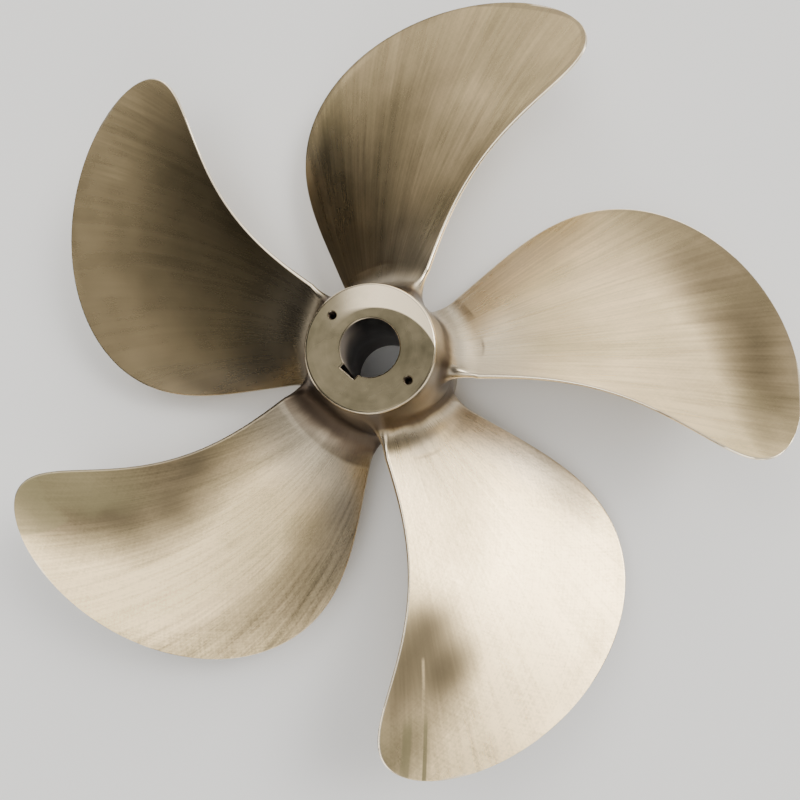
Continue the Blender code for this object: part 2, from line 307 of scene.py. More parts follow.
def castingTree(material):
    board, size = geometryTree("propellerCasting", propeller)
    loop, flat = rootLoop(board, size)

    def onLoop(index):
        place = board.out("GeometryNodeInputPosition")
        index = board.maths("MODULO", index, size.loopPoints)
        found = board.out("GeometryNodeSampleIndex", {"Geometry": loop, "Value": place, "Index": index},
                          data_type="FLOAT_VECTOR", domain="POINT")
        return board.split(found)

    # the blade, from the root line to the tip, where its two faces close
    grid, out, around = gridOf(board, size.bladeRings, size.loopPoints)
    step = board.maths("ROUND", around * size.loopPoints)
    rootRadius = onLoop(step)[2]
    turn = around * math.tau
    left = 1 - size.tipEnd * out ** size.tipCrowding
    tipRadius = size.diameter / 2
    radius = tipRadius - (tipRadius - rootRadius) * left * left
    unclosed = board.maths("LESS_THAN", out, 0.9999)
    angle, height, along, fromEdge = bladeSurface(board, size, radius, turn, unclosed)
    blade = storePlace(board, grid, along, radius, fromEdge, rootRadius - radius)
    blade = board.placed(blade, board.polar(radius, angle, height))

    # the blade's share of the hub, from the root line to a line halfway to the next blade
    grid, out, around = gridOf(board, size.hubRings, size.loopPoints)
    step = board.maths("ROUND", around * size.loopPoints)
    turn = around * math.tau
    rootX, rootZ, rootRadius = onLoop(step)
    nextX, nextZ = onLoop(step + 1)[:2]
    lastX, lastZ = onLoop(step + size.loopPoints - 1)[:2]
    topX, topZ = onLoop(0)[:2]
    bottomX, bottomZ = onLoop(size.loopPoints / 2)[:2]
    faceX, faceZ = onLoop(size.loopPoints / 4)[:2]
    backX, backZ = onLoop(size.loopPoints * 0.75)[:2]
    centre = (topZ + bottomZ) / 2
    halfLength = (topZ - bottomZ) / 2
    between = (topX + bottomX) / 2
    lean = (topX - bottomX) / 2

    def bent(w):
        # follows w near the middle, and levels off at 1 and -1
        return w / (1 + w ** 4) ** 0.25

    shift = (faceX + backX) / 2 - between - lean * bent(((faceZ + backZ) / 2 - centre) / halfLength)
    a = size.rimShare
    b = 0.5 - 2 * a
    low = size.rimChamfer
    high = size.hubLength - size.rimChamfer
    edgeZ = high - (high - low) * (board.clamp((around - a) / b) - board.clamp((around - 3 * a - b) / b))
    sector = math.tau / size.blades * flat
    aside = board.clamp(around / a) / 2 - board.clamp((around - a - b) / (2 * a))
    aside = aside + board.clamp((around - 3 * a - 2 * b) / a) / 2
    w = (edgeZ - centre) / halfLength
    edgeX = between + lean * bent(w) + shift * board.maths("MAXIMUM", 1 - w * w, 0.0) ** 2 + sector * aside
    reach = board.sqrt((edgeX - rootX) ** 2 + (edgeZ - rootZ) ** 2)
    runLength = board.sqrt((nextX - lastX) ** 2 + (nextZ - lastZ) ** 2)
    bendX = rootX - (nextZ - lastZ) / runLength * reach * size.squareShare
    bendZ = rootZ + (nextX - lastX) / runLength * reach * size.squareShare
    first = board.maths("MINIMUM", size.filletWidth, size.filletMost * reach) / reach
    inFillet = board.clamp(out / size.filletShare)
    pastFillet = board.clamp((out - size.filletShare) / (1 - size.filletShare))
    share = first * (1 - board.maths("COSINE", inFillet * (math.pi / 2))) + (1 - first) * pastFillet
    rest = 1 - share
    x = rest * rest * rootX + share * rest * 2 * bendX + share * share * edgeX
    z = rest * rest * rootZ + share * rest * 2 * bendZ + share * share * edgeZ
    above = board.clamp((z - topZ) / size.filletAftReach)
    width = size.filletWidth + size.filletAftSpread * above
    lift = 0.0
    for turns in (-1, 1, 0):
        moved = board.out("GeometryNodeTransform", {"Geometry": loop, "Scale": (1, 1, 0),
                                                    "Translation": board.combine(sector * turns, 0.0, 0.0)})
        outline = board.out("GeometryNodeMeshToCurve", {"Mesh": moved})
        outline = board.out("GeometryNodeSetSplineCyclic", {"Geometry": outline, "Cyclic": True})
        outline = board.out("GeometryNodeCurveToMesh", {"Curve": outline})
        gap = board.out("GeometryNodeProximity", {0: outline, "Sample Position": board.combine(x, z, 0.0)},
                        "Distance", target_element="EDGES")
        near = board.clamp(1 - gap / width)
        lift = size.filletHeight * (1 - board.sqrt(1 - near * near)) + lift
    lift = lift + ridges(board, size, gap, turn, board.combine(x, z, 0.0))
    isRoot = board.maths("LESS_THAN", out, 0.0001)
    radius = isRoot * rootRadius + (1 - isRoot) * (hubRadius(board, size, z) + lift)
    angle = x / flat
    along, fromEdge = bladeSurface(board, size, rootRadius, turn)[2:]
    hub = storePlace(board, grid, along, rootRadius, fromEdge, gap)
    hub = board.placed(hub, board.polar(radius, angle, z))
    hub = board.out("GeometryNodeFlipFaces", {"Mesh": hub})

    # five times round, welded into one skin, with the slight waves that grinding by hand leaves
    both = board.out("GeometryNodeJoinGeometry", {"Geometry": [hub, blade]})
    centres = board.out("GeometryNodeMeshLine", {"Count": size.blades, "Offset": (0, 0, 0)})
    number = board.out("GeometryNodeInputIndex")
    swing = board.combine(0.0, 0.0, number * math.tau / size.blades)
    copies = board.out("GeometryNodeInstanceOnPoints",
                       {"Points": centres, "Instance": both, "Rotation": swing})
    copies = board.store(copies, "bladeNumber", number, domain="INSTANCE")
    skin = board.out("GeometryNodeRealizeInstances", {"Geometry": copies})
    skin = board.out("GeometryNodeMergeByDistance", {"Geometry": skin, "Distance": size.weld})
    inward = board.maths("ABSOLUTE", board.split(board.onPoints("bladePlace", "FLOAT_VECTOR"))[2])
    run = board.onPoints("rootRun") / size.blendReach
    weight = board.bell(run) * board.clamp((inward - size.blendEdge) / size.waveMargin)
    spot = board.out("GeometryNodeInputPosition")
    rounded = board.out("GeometryNodeBlurAttribute", {"Value": spot, "Iterations": size.blendSteps,
                                                      "Weight": weight}, data_type="FLOAT_VECTOR")
    skin = board.placed(skin, rounded)
    wave = board.out("ShaderNodeTexNoise",
                     {"Vector": spot, "W": size.waveSeed, "Scale": size.waveScale, "Detail": 1.0},
                     "Fac", noise_dimensions="4D")
    height = board.split(spot)[2]
    calm = board.clamp(height / size.calmForward) * board.clamp((size.hubLength - height) / size.calmAft)
    calm = calm * board.clamp(inward / size.waveMargin)
    push = board.scaled(board.out("GeometryNodeInputNormal"), (wave - 0.5) * size.waveHeight * calm * 2)
    skin = board.out("GeometryNodeSetPosition", {"Geometry": skin, "Offset": push})
    skin = storeFinish(board, skin)
    return meshFromTree("propellerCasting", board, finishTree(board, skin, material), propeller)


# The machined middle: both hub faces, the tapered bore with its keyway, and the drilled holes

hubCore = dict(
    boreAftRadius=0.0355, boreTaper=1 / 12, boreChamfer=0.0015, boreSteps=96,
    keyWidth=0.022, keyDepth=0.0054, keyAzimuth=math.radians(212.5),
    holeRadius=0.005, holeChamfer=0.0009, holeDepth=0.026, holePoint=0.003, holeSteps=32,
    holeCircle=0.0605, holeAzimuth=math.radians(122.5),
    rimSteps=5, sharpAngle=math.radians(34),
    level=0.9999,  # a face whose normal is this upright is one of the two end faces
    closest=1e-7,
)


def heading(angle):
    return Vector((math.cos(angle), math.sin(angle)))


def boreLoop(z, grow):
    # the bore's outline with its keyway at one height, widened by grow for a chamfer
    radius = hubCore["boreAftRadius"] + (propeller["hubLength"] - z) * hubCore["boreTaper"] / 2
    half = hubCore["keyWidth"] / 2 + grow
    floor = radius + hubCore["keyDepth"] + grow
    radius += grow
    start = math.asin(half / radius)
    points = [Vector((floor, -half)), Vector((floor, half))]
    for k in range(hubCore["boreSteps"] + 1):
        turn = start + (math.tau - 2 * start) * k / hubCore["boreSteps"]
        points.append(Vector((radius * math.cos(turn), radius * math.sin(turn))))
    return [Matrix.Rotation(hubCore["keyAzimuth"], 2) @ p for p in points]


def holeLoop(azimuth, radius):
    steps = hubCore["holeSteps"]
    return [heading(azimuth) * hubCore["holeCircle"] + heading(math.tau * k / steps) * radius
            for k in range(steps)]


def addMachinedMiddle(mesh, turnedSlot, boreSlot):
    shape = bmesh.new()
    shape.from_mesh(mesh)
    length = propeller["hubLength"]
    openEdges = [edge for edge in shape.edges if edge.is_boundary]
    rims = {}
    for isAft in (True, False):
        found = {v for edge in openEdges for v in edge.verts if (v.co.z > length / 2) == isAft}
        rims[isAft] = sorted(found, key=lambda v: math.atan2(v.co.y, v.co.x))

    def ringAt(points, z):
        return [shape.verts.new((p[0], p[1], z)) for p in points]

    def join(first, second, slot):
        for k in range(len(first)):
            n = (k + 1) % len(first)
            face = shape.faces.new((first[k], first[n], second[n], second[k]))
            face.material_index = slot

    def inside(point, ring):
        crossings = 0
        for k in range(len(ring)):
            one = ring[k].co
            two = ring[(k + 1) % len(ring)].co
            if (one.y > point.y) != (two.y > point.y):
                if point.x < one.x + (point.y - one.y) * (two.x - one.x) / (two.y - one.y):
                    crossings += 1
        return crossings % 2 == 1

    def fillBetween(outer, holes, slot):
        corners = []
        edges = []
        for ring in [outer] + holes:
            first = len(corners)
            corners += ring
            edges += [(first + k, first + (k + 1) % len(ring)) for k in range(len(ring))]
        flat = [v.co.xy for v in corners]
        triangles = delaunay_2d_cdt(flat, edges, [], 1, hubCore["closest"])[2]
        for triangle in triangles:
            middle = sum((flat[k] for k in triangle), Vector((0, 0))) / 3
            if not any(inside(middle, ring) for ring in holes):
                face = shape.faces.new([corners[k] for k in triangle])
                face.material_index = slot

    mouths = {}
    for isAft in (True, False):
        z = length if isAft else 0.0
        inward = -1 if isAft else 1
        radius = propeller["hubAftRadius"] if isAft else propeller["hubForwardRadius"]
        outer = rims[isAft]
        around = [v.co.xy.normalized() for v in outer]
        for k in range(1, hubCore["rimSteps"] + 1):
            bend = math.pi / 2 * k / hubCore["rimSteps"]
            size = radius - propeller["rimChamfer"] * (1 - math.cos(bend))
            depth = propeller["rimChamfer"] * (1 - math.sin(bend))
            inner = ringAt([way * size for way in around], z + inward * depth)
            join(outer, inner, turnedSlot)
            outer = inner
        chamfer = hubCore["boreChamfer"]
        mouth = ringAt(boreLoop(z, chamfer), z)
        throat = ringAt(boreLoop(z + inward * chamfer, 0.0), z + inward * chamfer)
        join(mouth, throat, turnedSlot)
        mouths[isAft] = throat
        holes = [mouth]
        if isAft:
            for azimuth in (hubCore["holeAzimuth"], hubCore["holeAzimuth"] + math.pi):
                lip = ringAt(holeLoop(azimuth, hubCore["holeRadius"] + hubCore["holeChamfer"]), z)
                holes.append(lip)
                for depth in (hubCore["holeChamfer"], hubCore["holeDepth"]):
                    deeper = ringAt(holeLoop(azimuth, hubCore["holeRadius"]), z - depth)
                    join(lip, deeper, turnedSlot if depth == hubCore["holeChamfer"] else boreSlot)
                    lip = deeper
                tip = heading(azimuth) * hubCore["holeCircle"]
                point = shape.verts.new((tip.x, tip.y, z - hubCore["holeDepth"] - hubCore["holePoint"]))
                for k in range(len(lip)):
                    face = shape.faces.new((lip[k], lip[(k + 1) % len(lip)], point))
                    face.material_index = boreSlot
        fillBetween(outer, holes, turnedSlot)
    join(mouths[True], mouths[False], boreSlot)
    faceOutward(shape, mesh.name)
    for edge in shape.edges:
        flat = [abs(face.normal.z) > hubCore["level"] for face in edge.link_faces]
        edge.smooth = edge.calc_face_angle(0) < hubCore["sharpAngle"] and flat[0] == flat[-1]
    for face in shape.faces:
        face.smooth = True
    shape.to_mesh(mesh)
    shape.free()


# Finishes

bronze = dict(
    champagne=(0.64, 0.49, 0.285), olive=(0.47, 0.38, 0.20),
    polished=(0.95, 0.83, 0.64), castBrown=(0.095, 0.066, 0.047),
    edgeBrown=(0.24, 0.19, 0.12), paleRoot=(0.50, 0.43, 0.33),
    hubTan=(0.40, 0.34, 0.26), shadeGrey=(0.40, 0.355, 0.285),
    cornerGrey=(0.54, 0.49, 0.42), stain=(0.042, 0.033, 0.021),
    tipOlive=(0.19, 0.165, 0.088), greyGreen=(0.158, 0.133, 0.084),
    duskyGreen=(0.078, 0.067, 0.040), cream=(0.82, 0.69, 0.49),
    boreShadeBrown=(0.035, 0.024, 0.017), boreGrey=(0.42, 0.35, 0.28),
)


def newFinish(name, roughness, anisotropy):
    material = bpy.data.materials.new(name)
    material.use_nodes = True
    shader = material.node_tree.nodes["Principled BSDF"]
    shader.inputs["Metallic"].default_value = 1
    shader.inputs["Roughness"].default_value = roughness
    shader.inputs["Anisotropic"].default_value = anisotropy
    return material, Board(material.node_tree), shader


def feed(board, shader, colour, roughness, normal):
    for name, value in (("Base Color", colour), ("Roughness", roughness), ("Normal", normal)):
        board.tree.links.new(value.socket, shader.inputs[name])


def bump(board, height, distance, strength):
    return board.out("ShaderNodeBump", {"Height": height, "Distance": distance, "Strength": strength})


# Brush marks: their width and length in metres, how far they tilt off the fan, and their detail
strokes = dict(
    broad=(0.030, 0.35, 0.05, 2.0),
    middling=(0.0055, 0.24, -0.03, 3.0),
    fine=(0.0024, 0.12, 0.03, 1.0),
    crossed=(0.0028, 0.022, 0.9, 1.0),
    crossedBack=(0.0028, 0.020, -0.8, 1.0),
)

brushed = dict(
    fanRadius=0.3,  # the brush marks are as wide as their sizes say at this radius, and fan out with it
    leans=(0.0, 0.12, -0.2, 0.28, 0.0),  # how far each blade's marks lean off the radius
    depths=(0.5, 0.5, 0.08, 0.65, 0.5),  # how clearly they show on each blade
    crossDepths=(0.4, 0.4, 0.2, 0.75, 1.3), cloudDepths=(0.8, 0.8, 0.3, 0.9, 0.4),
    reliefs=(0.7, 0.5, 0.1, 0.8, 0.9),
    cloudScale=5.5, patchScale=17.0, mottleScale=30.0, grainScale=380.0,
    bladeLayer=7.3,  # moves the marks on, so that no two blades have the same ones
    faceLayer=3.1,
    zoneStreaks=(0.06, 0.09, 0.0, 0.08, 0.03),
    zoneDrift=0.03,  # metres by which the broad zones' borders wander
    driftScales=(8.0, 9.5),
    paintedLightLimits=(0.07, 1.42), shownLimits=(0.05, 1.56),
    darkReflectionWander=0.010, darkReflectionStrength=1.7,
    # painted shade: how grey and dark each blade is painted in its leading corner near the root
    cornerShading=(0.7, 0.6, 0.4, 0.4, 0.7),
    trailingRubAndHighlight=(0.85, 1.0, 0.85, 0.1, 0.9),  # how bright each blade's two edges are painted: rubbed metal, and partly a painted highlight
    leadingRubAndHighlight=(0.7, 0.0, 0.5, 0.45, 0.3),
    # how far each blade's root bands move, and how grey and dark each is painted towards the hub, a painted
    # shade
    rootShift=(0.0, 0.002, 0.006, 0.0125, 0.003), rootShading=(0.6, 0.5, 0.6, 0.7, 0.2),
    paleBands=(0.7, 0.4, 0.05, 0.15, 0.6), creases=(0.7, 0.25, 0.0, 0.0, 0.4),
    creaseRun=-0.0008, creaseWidth=0.0022,
    laneMiddle=-0.1248,  # where one blade has a wiped streak, and the stripes in its tip beside it
    laneLean=0.1,
    stripes=((-0.0120, 0.0037, 0.5), (0.0018, 0.0016, 0.6)),  # offset, half width and share of each
    stripeEdge=(0.6, 1.2),
    cutRadius=0.448,  # another blade's tip is cut off by a straight line through this radius
    cutSlope=0.957, cutAlong=0.085,
    litWay=(0.906, -0.423),  # the side of the hub that is painted lighter tan, a painted light
)

# Where soft steps of the finish begin and end. Radius is from the shaft's axis, along is above 0 on the
# leading half, in is the distance from the blade's edge, and run goes down from the root on to the hub.
steps = dict(
    face=(-0.0005, 0.0005), leadingHalf=(-0.004, 0.004),
    scoredRadius=(0.40, 0.45), scoredAlong=(0.05, -0.03), deeperAlong=(0.07, 0.12),
    wipedWidth=(0.0004, 0.0020), wipedStart=(0.362, 0.370), wipedEnd=(0.415, 0.44),
    stripedRadius=(0.415, 0.445), stripedLane=(0.007, 0.004),
    cutLine=(-0.0015, 0.0018), cutRadius=(0.425, 0.452),
    oliveAlong=(-0.092, -0.128), oliveRadius=(0.30, 0.40),
    dullRadius=(0.30, 0.42), bandStart=(0.0016, 0.0030), bandEnd=(0.0072, 0.0095),
    dottedIn=(0.0012, 0.0040), dottedPatches=(-0.1, 0.1),
    rubAndHighlightIn=(0.0012, 0.0030), rubAndHighlightRun=(-0.002, 0.010),
    dustRadius=(0.13, 0.23), cornerIn=(0.005, 0.07), cornerRadius=(0.20, 0.38),
    paleStart=(0.001, 0.007), paleEnd=(0.010, 0.016), deepRun=(0.009, 0.018),
    creasePatches=(-0.08, 0.12), litSide=(0.030, 0.078), litHubRun=(0.022, 0.042),
)

# Broad painted light and shade: zones painted lighter or darker to stand for reflections and shade, on the
# pressure faces only, by blade from the one along +X. Each is at a radius and a place along the chord. A
# share above 0 is lighter.
paintedLightZones = {
    0: [  # a pale sweep to the lower tip, dull outer third
        dict(at=(0.13, 0.0), spread=(0.04, 0.07), share=0.7),
        dict(at=(0.1, -0.09), spread=(0.23, 0.11), share=-1.0),
        dict(at=(0.3, -0.14), spread=(0.25, 0.25), share=0.8),
        dict(at=(0.37, -0.22), spread=(0.05, 0.21), share=0.6),
        dict(at=(0.45, -0.04), spread=(0.04, 0.09), share=-1.2),
        dict(at=(0.46, 0.08), spread=(0.09, 0.13), share=-1.2),
        dict(at=(0.43, -0.17), spread=(0.06, 0.03), share=0.6),
        dict(at=(0.48, -0.11), spread=(0.02, 0.03), share=0.4),
    ],
    1: [  # dark towards the hub and along the inner leading edge
        dict(at=(0.12, -0.02), spread=(0.05, 0.11), share=-1.1),
        dict(at=(0.15, -0.07), spread=(0.04, 0.04), share=0.8),
        dict(at=(0.19, 0.08), spread=(0.1, 0.06), share=-1.7),
        dict(at=(0.24, 0.12), spread=(0.09, 0.03), share=-1.3),
        dict(at=(0.3, 0.0), spread=(0.18, 0.08), share=-0.3),
        dict(at=(0.37, -0.1), spread=(0.04, 0.04), share=0.3),
    ],
    2: [  # dark over the whole inner half and down the trailing edge
        dict(at=(0.08, -0.02), spread=(0.04, 0.09), share=-1.2),
        dict(at=(0.14, 0.06), spread=(0.08, 0.05), share=-1.1),
        dict(at=(0.14, 0.0), spread=(0.04, 0.15), share=0.4),
        dict(at=(0.21, 0.12), spread=(0.09, 0.02), share=-0.6),
        dict(at=(0.4, 0.05), spread=(0.25, 0.13), share=0.2),
        dict(at=(0.25, -0.08), spread=(0.18, 0.15), share=-0.9),
        dict(at=(0.28, -0.19), spread=(0.15, 0.08), share=-1.2),
    ],
    3: [  # pale down the middle, dull beside both edges
        dict(at=(0.08, -0.04), spread=(0.14, 0.09), share=-1.2),
        dict(at=(0.14, 0.02), spread=(0.04, 0.05), share=0.6),
        dict(at=(0.23, -0.03), spread=(0.09, 0.04), share=0.8),
        dict(at=(0.29, 0.09), spread=(0.12, 0.06), share=-1.2),
        dict(at=(0.3, 0.04), spread=(0.25, 0.07), share=0.8),
        dict(at=(0.37, -0.11), spread=(0.25, 0.07), share=-1.2),
        dict(at=(0.38, -0.04), spread=(0.14, 0.13), share=0.4),
        dict(at=(0.44, -0.16), spread=(0.25, 0.06), share=-1.2),
    ],
    4: [  # pale nearly all over, dull at the tip
        dict(at=(0.15, 0.08), spread=(0.03, 0.03), share=0.8),
        dict(at=(0.21, -0.02), spread=(0.25, 0.12), share=0.8),
        dict(at=(0.22, -0.03), spread=(0.1, 0.07), share=-1.1),
        dict(at=(0.27, 0.13), spread=(0.06, 0.04), share=-0.9),
        dict(at=(0.34, -0.12), spread=(0.04, 0.04), share=-0.3),
        dict(at=(0.4, -0.09), spread=(0.04, 0.04), share=-0.6),
        dict(at=(0.44, 0.12), spread=(0.04, 0.05), share=-0.3),
        dict(at=(0.46, 0.22), spread=(0.23, 0.22), share=0.5),
        dict(at=(0.49, -0.12), spread=(0.06, 0.04), share=-1.2),
    ],
}

# Smaller painted dark reflections and painted shade on the same faces, which run into one another
paintedDarkReflections = {
    3: [
        dict(at=(0.19, 0.072), spread=(0.034, 0.03), share=0.35),
        dict(at=(0.268, -0.112), spread=(0.03, 0.022), share=0.45),
        dict(at=(0.32, -0.095), spread=(0.024, 0.026), share=0.45),
        dict(at=(0.386, -0.105), spread=(0.034, 0.024), share=0.45),
    ],
    4: [
        dict(at=(0.329, -0.128), spread=(0.024, 0.028), share=1.0),
        dict(at=(0.382, -0.108), spread=(0.03, 0.031), share=1.25),
        dict(at=(0.378, -0.158), spread=(0.052, 0.024), share=1.0),
        dict(at=(0.352, -0.136), spread=(0.022, 0.03), share=0.35),
    ],
}


class Brushing:
    # the lines along which the blades were brushed, for the geometry tree and the material alike
    def __init__(self, board, spot, number, edge):
        self.board = board
        self.onFace = self.rise(edge, "face")
        self.onBlade = [board.maths("COMPARE", number, blade, 0.5) for blade in range(propeller["blades"])]
        # each blade turned back on to the first one, so that its marks fan out from the axis
        swing = number * (-math.tau / propeller["blades"])
        own = board.out("ShaderNodeVectorRotate", {"Vector": spot, "Angle": swing}, rotation_type="Z_AXIS")
        ownX, ownY, _ownZ = board.split(own)
        self.reach = board.sqrt(ownX * ownX + ownY * ownY)
        self.past = self.reach - brushed["fanRadius"]
        self.fan = board.maths("ARCTAN2", ownY, ownX) * brushed["fanRadius"]
        self.fan = self.fan + self.past * self.perBlade("leans")
        self.layer = number * brushed["bladeLayer"] + self.onFace * brushed["faceLayer"]

    def rise(self, value, step):
        return self.board.rise(value, steps[step])

    def fall(self, value, step):
        return self.board.fall(value, steps[step])

    def perBlade(self, name):
        return sum(mask * value for mask, value in zip(self.onBlade, brushed[name]) if value)

    def marks(self, kind):
        # brush marks of one kind, as values about 0
        width, length, tilt, detail = strokes[kind]
        lines = self.board.combine((self.fan + self.past * tilt) / width, self.reach / length, self.layer)
        return self.board.noise(lines, 1.0, detail) - 0.5

    def zones(self, zones, radius, along):
        # soft spots added up, each on its own blade
        total = 0.0
        for blade, rows in zones.items():
            own = 0.0
            for zone in rows:
                down = (radius - zone["at"][0]) / zone["spread"][0]
                over = (along - zone["at"][1]) / zone["spread"][1]
                own = self.board.maths("EXPONENT", down * down * -1 - over * over) * zone["share"] + own
            total = self.onBlade[blade] * own + total
        return total


def storeFinish(board, skin):
    # the broad part of the finish, worked out at the skin's points: the painted light and shade of each
    # place, how olive it is, how dark the painted dark reflections make it, and the patchiness of the root
    spot = board.out("GeometryNodeInputPosition")
    along, radius, edge = board.split(board.onPoints("bladePlace", "FLOAT_VECTOR"))
    brush = Brushing(board, spot, board.onPoints("bladeNumber"), edge)
    broad = brush.marks("broad")
    cloud = board.noise(spot, brushed["cloudScale"], 2.0) - 0.5
    patchy = board.noise(spot, brushed["patchScale"], 2.0) - 0.5
    wide = 2 * brushed["zoneDrift"]
    drifts = [(board.noise(spot, scale, 1.0) - 0.5) * wide for scale in brushed["driftScales"]]
    driftRadius = radius + drifts[0] + broad * brush.perBlade("zoneStreaks")
    light = board.maths("EXPONENT", brush.zones(paintedLightZones, driftRadius, along + drifts[1]) * brush.onFace)
    wander = brushed["darkReflectionWander"]
    # painted dark reflections and painted shade, their borders broken up
    stained = brush.zones(paintedDarkReflections, radius + patchy * wander, along + (broad + patchy) * wander) * brush.onFace
    skin = board.store(skin, "sheen", board.clamp(light, *brushed["paintedLightLimits"]))
    skin = board.store(skin, "tone", (broad * 1.2 + cloud * 1.5) * brush.perBlade("cloudDepths"))
    skin = board.store(skin, "stained", stained)
    return board.store(skin, "patchy", patchy)


def makeGroundBronze():
    # the hand-ground skin of the blades and hub: brush marks fan out along each blade
    material, board, shader = newFinish("groundBronze", 0.28, 0.4)
    along, radius, edge = board.split(board.attribute("bladePlace", "Vector"))
    run = board.attribute("rootRun")
    tone = board.attribute("tone")
    patchy = board.attribute("patchy")
    spot = board.out("ShaderNodeTexCoord", None, "Object")
    fromEdge = board.maths("ABSOLUTE", edge)
    brush = Brushing(board, spot, board.attribute("bladeNumber"), edge)
    onFace = brush.onFace
    onBlade = brush.onBlade
    middling = brush.marks("middling")
    fine = brush.marks("fine")
    crossed = brush.marks("crossed") + brush.marks("crossedBack")
    mottle = board.noise(spot, brushed["mottleScale"], 2.0) - 0.5
    grain = board.noise(spot, brushed["grainScale"], 1.0) - 0.5

    olive = board.clamp(0.35 - tone - mottle * brush.perBlade("cloudDepths") * 0.4)
    colour = board.blend(olive, bronze["champagne"], bronze["olive"])
    across = (crossed * 0.55 + grain * 0.7) * brush.perBlade("crossDepths")
    texture = middling + fine * 0.8 + across + mottle * 0.2
    scored = onBlade[2] * brush.rise(radius, "scoredRadius") * brush.rise(along, "scoredAlong")
    depth = brush.perBlade("depths") + scored * 0.45
    depth = onBlade[3] * brush.rise(along, "deeperAlong") * 0.5 + depth
    # the broad zones' painted light and shade, times the brush marks
    shown = board.clamp(board.attribute("sheen") * (1 + texture * depth), *brushed["shownLimits"])
    colour = board.scaled(colour, shown)

    # the painted dark reflections and painted shade, in a nearly black bronze
    stained = board.attribute("stained") * (1 + (grain + crossed) * 0.25) * -brushed["darkReflectionStrength"]
    stained = 1 - board.maths("EXPONENT", stained)
    lane = brush.fan + brush.past * brushed["laneLean"] - brushed["laneMiddle"]
    wiped = brush.fall(board.maths("ABSOLUTE", lane), "wipedWidth") * onBlade[4]
    wiped = wiped * brush.rise(radius, "wipedStart") * brush.fall(radius, "wipedEnd")
    stained = stained * (1 - wiped * 0.4)

    # two blades end in an olive tip: one with long stripes, one cut off straight by the last grinding pass
    striped = 0.3 + middling * 0.5
    for place, half, share in brushed["stripes"]:
        border = [half * part for part in brushed["stripeEdge"]]
        striped = board.fall(board.maths("ABSOLUTE", lane - place), border) * share + striped
    striped = striped * brush.rise(radius, "stripedRadius") * brush.rise(lane, "stripedLane")
    striped = striped * onBlade[4]
    pastCut = (radius - brushed["cutRadius"]) * brushed["cutSlope"] - brushed["cutAlong"] - along
    cut = brush.rise(pastCut, "cutLine") * brush.rise(radius + mottle * 0.03, "cutRadius")
    besideEdge = brush.rise(along + mottle * 0.04, "oliveAlong")
    besideEdge = besideEdge * brush.rise(radius + mottle * 0.05, "oliveRadius")
    cut = board.maths("MAXIMUM", cut, besideEdge * 0.8) * onBlade[3]
    oliveTip = board.clamp(striped + cut * 0.55) * onFace

    # a dull band inside the outer edges of two blades, and the edges themselves painted bright: rubbed metal
    # and a painted highlight
    leading = brush.rise(along, "leadingHalf")
    dull = (onBlade[1] + onBlade[0] * leading * 0.6) * brush.rise(radius, "dullRadius") * onFace
    band = brush.rise(fromEdge, "bandStart") * brush.fall(fromEdge, "bandEnd")
    dotted = onBlade[1] * leading * brush.fall(fromEdge, "dottedIn")
    dotted = dotted * brush.rise(mottle, "dottedPatches")
    dull = board.clamp(band * dull * (0.45 + mottle) + dotted * 0.6)
    edgeShine = leading * brush.perBlade("leadingRubAndHighlight") + (1 - leading) * brush.perBlade("trailingRubAndHighlight")
    rubAndHighlight = brush.fall(fromEdge, "rubAndHighlightIn") * brush.fall(run, "rubAndHighlightRun") * edgeShine

    # the root: greyer and darker towards the hub and in the leading corners, a painted shade, then a broken
    # dark line, a paler band, deep brown, and the hub painted tan on its lit side, a painted light
    rootShade = brush.fall(radius, "dustRadius") * brush.perBlade("rootShading") * (1 - rubAndHighlight)
    corner = brush.fall(edge, "cornerIn") * leading * brush.fall(radius, "cornerRadius")
    corner = corner * brush.perBlade("cornerShading") * (1 - rubAndHighlight)
    soft = run + patchy * 0.012 + mottle * 0.004 + brush.perBlade("rootShift")
    pale = brush.rise(soft, "paleStart") * brush.fall(soft, "paleEnd")
    pale = board.clamp(pale * (1 + patchy * 1.5) * brush.perBlade("paleBands"))
    deep = brush.rise(soft, "deepRun")
    crease = board.bell((soft - brushed["creaseRun"]) / brushed["creaseWidth"])
    crease = crease * brush.rise(patchy, "creasePatches") * onFace * brush.perBlade("creases")
    x, y, _z = board.split(spot)
    # painted light: the hub painted tan on the side towards the light, deep brown elsewhere
    toLight = x * brushed["litWay"][0] + y * brushed["litWay"][1] + patchy * 0.02
    litHubTan = brush.rise(run + patchy * 0.02, "litHubRun") * (0.06 + brush.rise(toLight, "litSide") * 0.84)
    # each layer lies over the ones before it
    layers = [
        (stained, bronze["stain"]),
        (oliveTip, bronze["tipOlive"]),
        (dull, bronze["edgeBrown"]),
        (rubAndHighlight, bronze["polished"]),
        (corner, board.scaled(bronze["cornerGrey"], shown)),
        (rootShade, board.scaled(bronze["shadeGrey"], shown)),
        (pale, bronze["paleRoot"]),
        (deep * 0.92, bronze["castBrown"]),
        (crease, bronze["castBrown"]),
        (board.clamp(litHubTan + mottle * litHubTan), bronze["hubTan"]),
    ]
    for share, over in layers:
        colour = board.blend(share, colour, over)

    rough = 0.28 + middling * 0.06 + tone * 0.08 + mottle * 0.06 + deep * 0.10 + stained * 0.06
    rough = board.clamp(rough - rubAndHighlight * 0.08, 0.16, 0.6)
    height = (fine + middling * 1.2 + crossed * 0.6) * brush.perBlade("reliefs") * (1 - deep * 0.7)
    feed(board, shader, colour, rough, bump(board, height, 0.00003, 0.8))
    return material


# The turned faces: fine rings, and on the aft face a paler crescent, a painted reflection

turned = dict(
    crescentRadius=0.080,
    crescentMiddle=(-0.0058, -0.0315),
    crescentHeight=(0.05, 0.1),  # above this step, so on the aft face alone
    sharpBorder=0.0015, softBorder=0.016, softSide=(-0.02, 0.05),
    fadeWay=(-0.959, 0.284), fade=(-0.012, 0.060),
    rimDepths=(0.0012, 0.00015),
    ringWidth=0.0006, wideRing=0.006, cloudScale=22.0, fineCloudScale=90.0,
)


